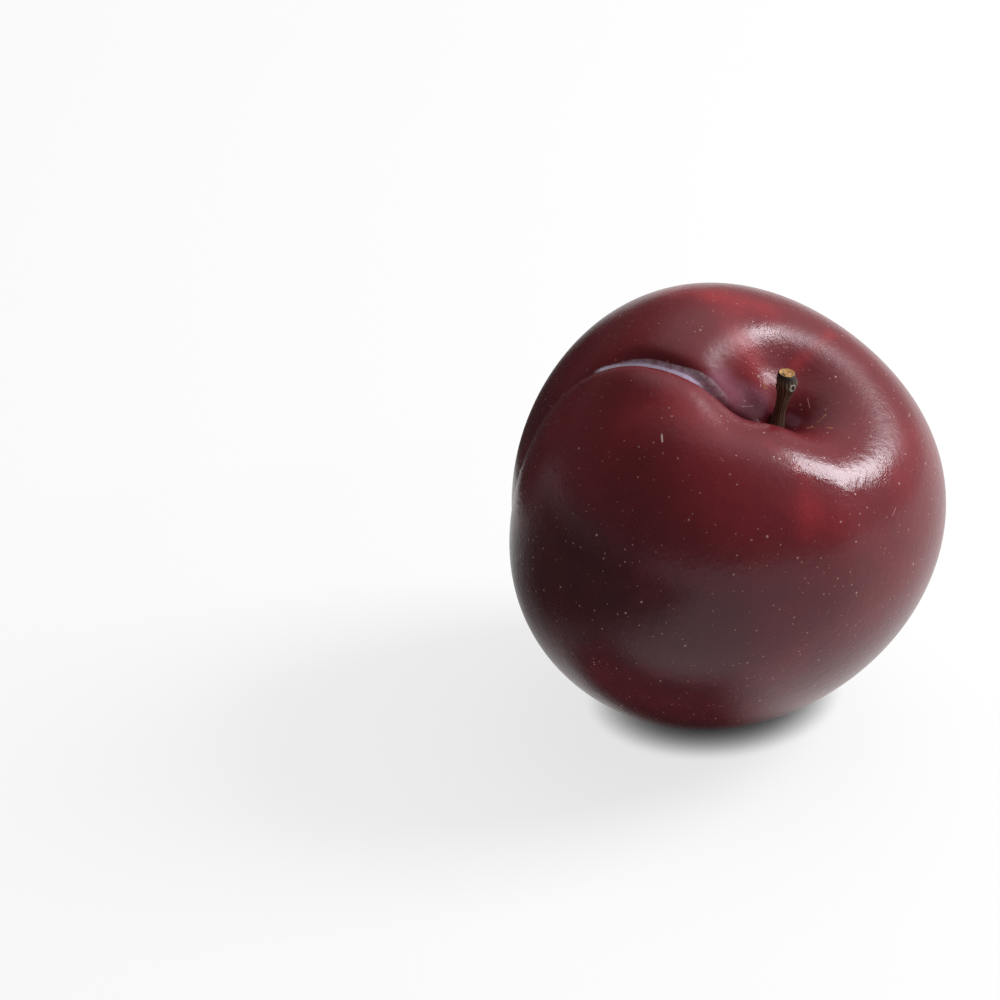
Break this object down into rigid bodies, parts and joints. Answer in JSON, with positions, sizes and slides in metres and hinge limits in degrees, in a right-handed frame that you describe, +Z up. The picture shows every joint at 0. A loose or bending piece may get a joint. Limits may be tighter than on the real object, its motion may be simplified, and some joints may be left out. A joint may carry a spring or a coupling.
{
  "type": "plum",
  "caption": "Ripe dark plum with its groove, a deep stem cavity and a short woody stem, lying on a small flat spot with its stem leaning to one side.",
  "frame": {"origin": "on the surface that the plum rests on, under the middle of its bounding box", "axes": "+Z up; +Y away from the viewer of the picture, and +X to that viewer's right, so the groove runs down towards -X and the stem leans towards +X and -Y"},
  "size_m": [0.0678, 0.0688, 0.0678],
  "materials": {
    "skin": "waxy dark purple-red plum skin, half gloss, with a pale lilac bloom in the groove and tiny pale dots",
    "stem_bark": "dry dark brown-green stem with lengthwise ribs and a tan scar on its end"
  },
  "bodies": {
    "root": {"fruit": "skin", "stem": "stem_bark"}
  },
  "joints": []
}
